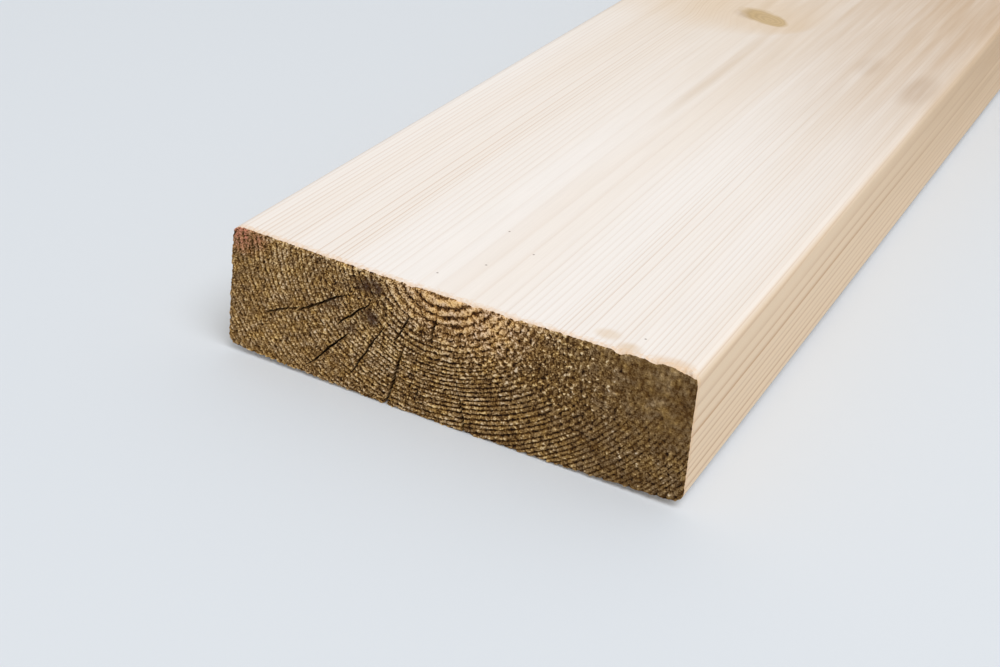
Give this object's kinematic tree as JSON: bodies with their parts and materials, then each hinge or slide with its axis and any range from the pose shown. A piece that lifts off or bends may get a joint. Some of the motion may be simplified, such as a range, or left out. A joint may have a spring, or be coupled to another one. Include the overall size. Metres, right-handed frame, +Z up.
{
  "type": "timber lumber plank",
  "caption": "Straight length of planed softwood plank with eased long edges and a sawn end that has dried into fine radial checks.",
  "frame": {"origin": "on the floor under the middle of the plank", "axes": "+Y along the length, away from the checked end; +X across the width; +Z up out of the wide face"},
  "size_m": [0.148, 1.8, 0.042],
  "materials": {
    "planed_softwood": "planed, unsealed; rough-sawn weathered ends"
  },
  "bodies": {
    "root": {"plank": "planed_softwood"}
  },
  "joints": []
}
